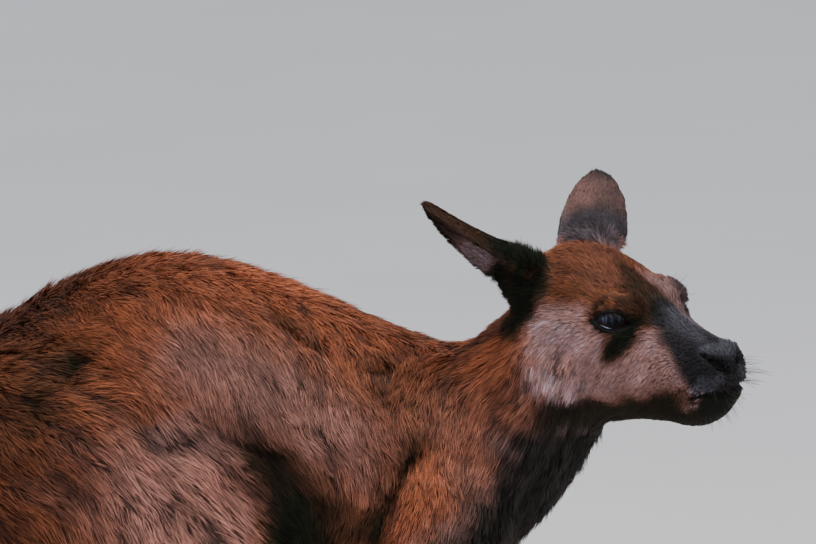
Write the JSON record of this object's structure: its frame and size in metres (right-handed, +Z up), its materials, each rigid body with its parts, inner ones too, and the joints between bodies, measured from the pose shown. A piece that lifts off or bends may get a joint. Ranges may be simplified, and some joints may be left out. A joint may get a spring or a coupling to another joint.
{
  "type": "kangaroo, life-size still model",
  "caption": "Life-size still model of a western grey kangaroo crouching on all fours, tail along the floor and head raised and turned to its right.",
  "frame": {"origin": "on the floor, at the centre of the model's box seen from above", "axes": "+X the way the body faces, from the tail to the chest; +Y to the animal's left; +Z up"},
  "size_m": [1.4152, 0.3446, 0.5929],
  "materials": {
    "coat": "rufous brown fur, matt, greyer on the ribs and pale on the cheek",
    "dark_coat": "dark brown to black short fur of the ears, hands and feet",
    "eye": "dark brown, wet gloss",
    "claw": "black horn, satin"
  },
  "bodies": {
    "root": {"claw_fifth_toe_left": "claw", "claw_fifth_toe_right": "claw", "claw_finger_1_left": "claw", "claw_finger_1_right": "claw", "claw_finger_2_left": "claw", "claw_finger_2_right": "claw", "claw_finger_3_left": "claw", "claw_finger_3_right": "claw", "claw_finger_4_left": "claw", "claw_finger_4_right": "claw", "claw_finger_5_left": "claw", "claw_finger_5_right": "claw", "claw_fourth_toe_left": "claw", "claw_fourth_toe_right": "claw", "claw_groomers_toe_left": "claw", "claw_groomers_toe_right": "claw", "ear_left": "dark_coat", "ear_right": "dark_coat", "eye_left": "eye", "eye_right": "eye", "foot_left": "dark_coat", "foot_right": "dark_coat", "forearm_left": "coat", "forearm_right": "coat", "hand_left": "dark_coat", "hand_right": "dark_coat", "head": "coat", "lower_jaw": "coat", "neck": "coat", "rump": "coat", "shank_left": "coat", "shank_right": "coat", "shoulders": "coat", "tail_base": "coat", "tail_middle": "coat", "tail_tip": "coat", "thigh_left": "coat", "thigh_right": "coat", "trunk_middle": "coat", "upper_arm_left": "coat", "upper_arm_right": "coat"}
  },
  "joints": []
}
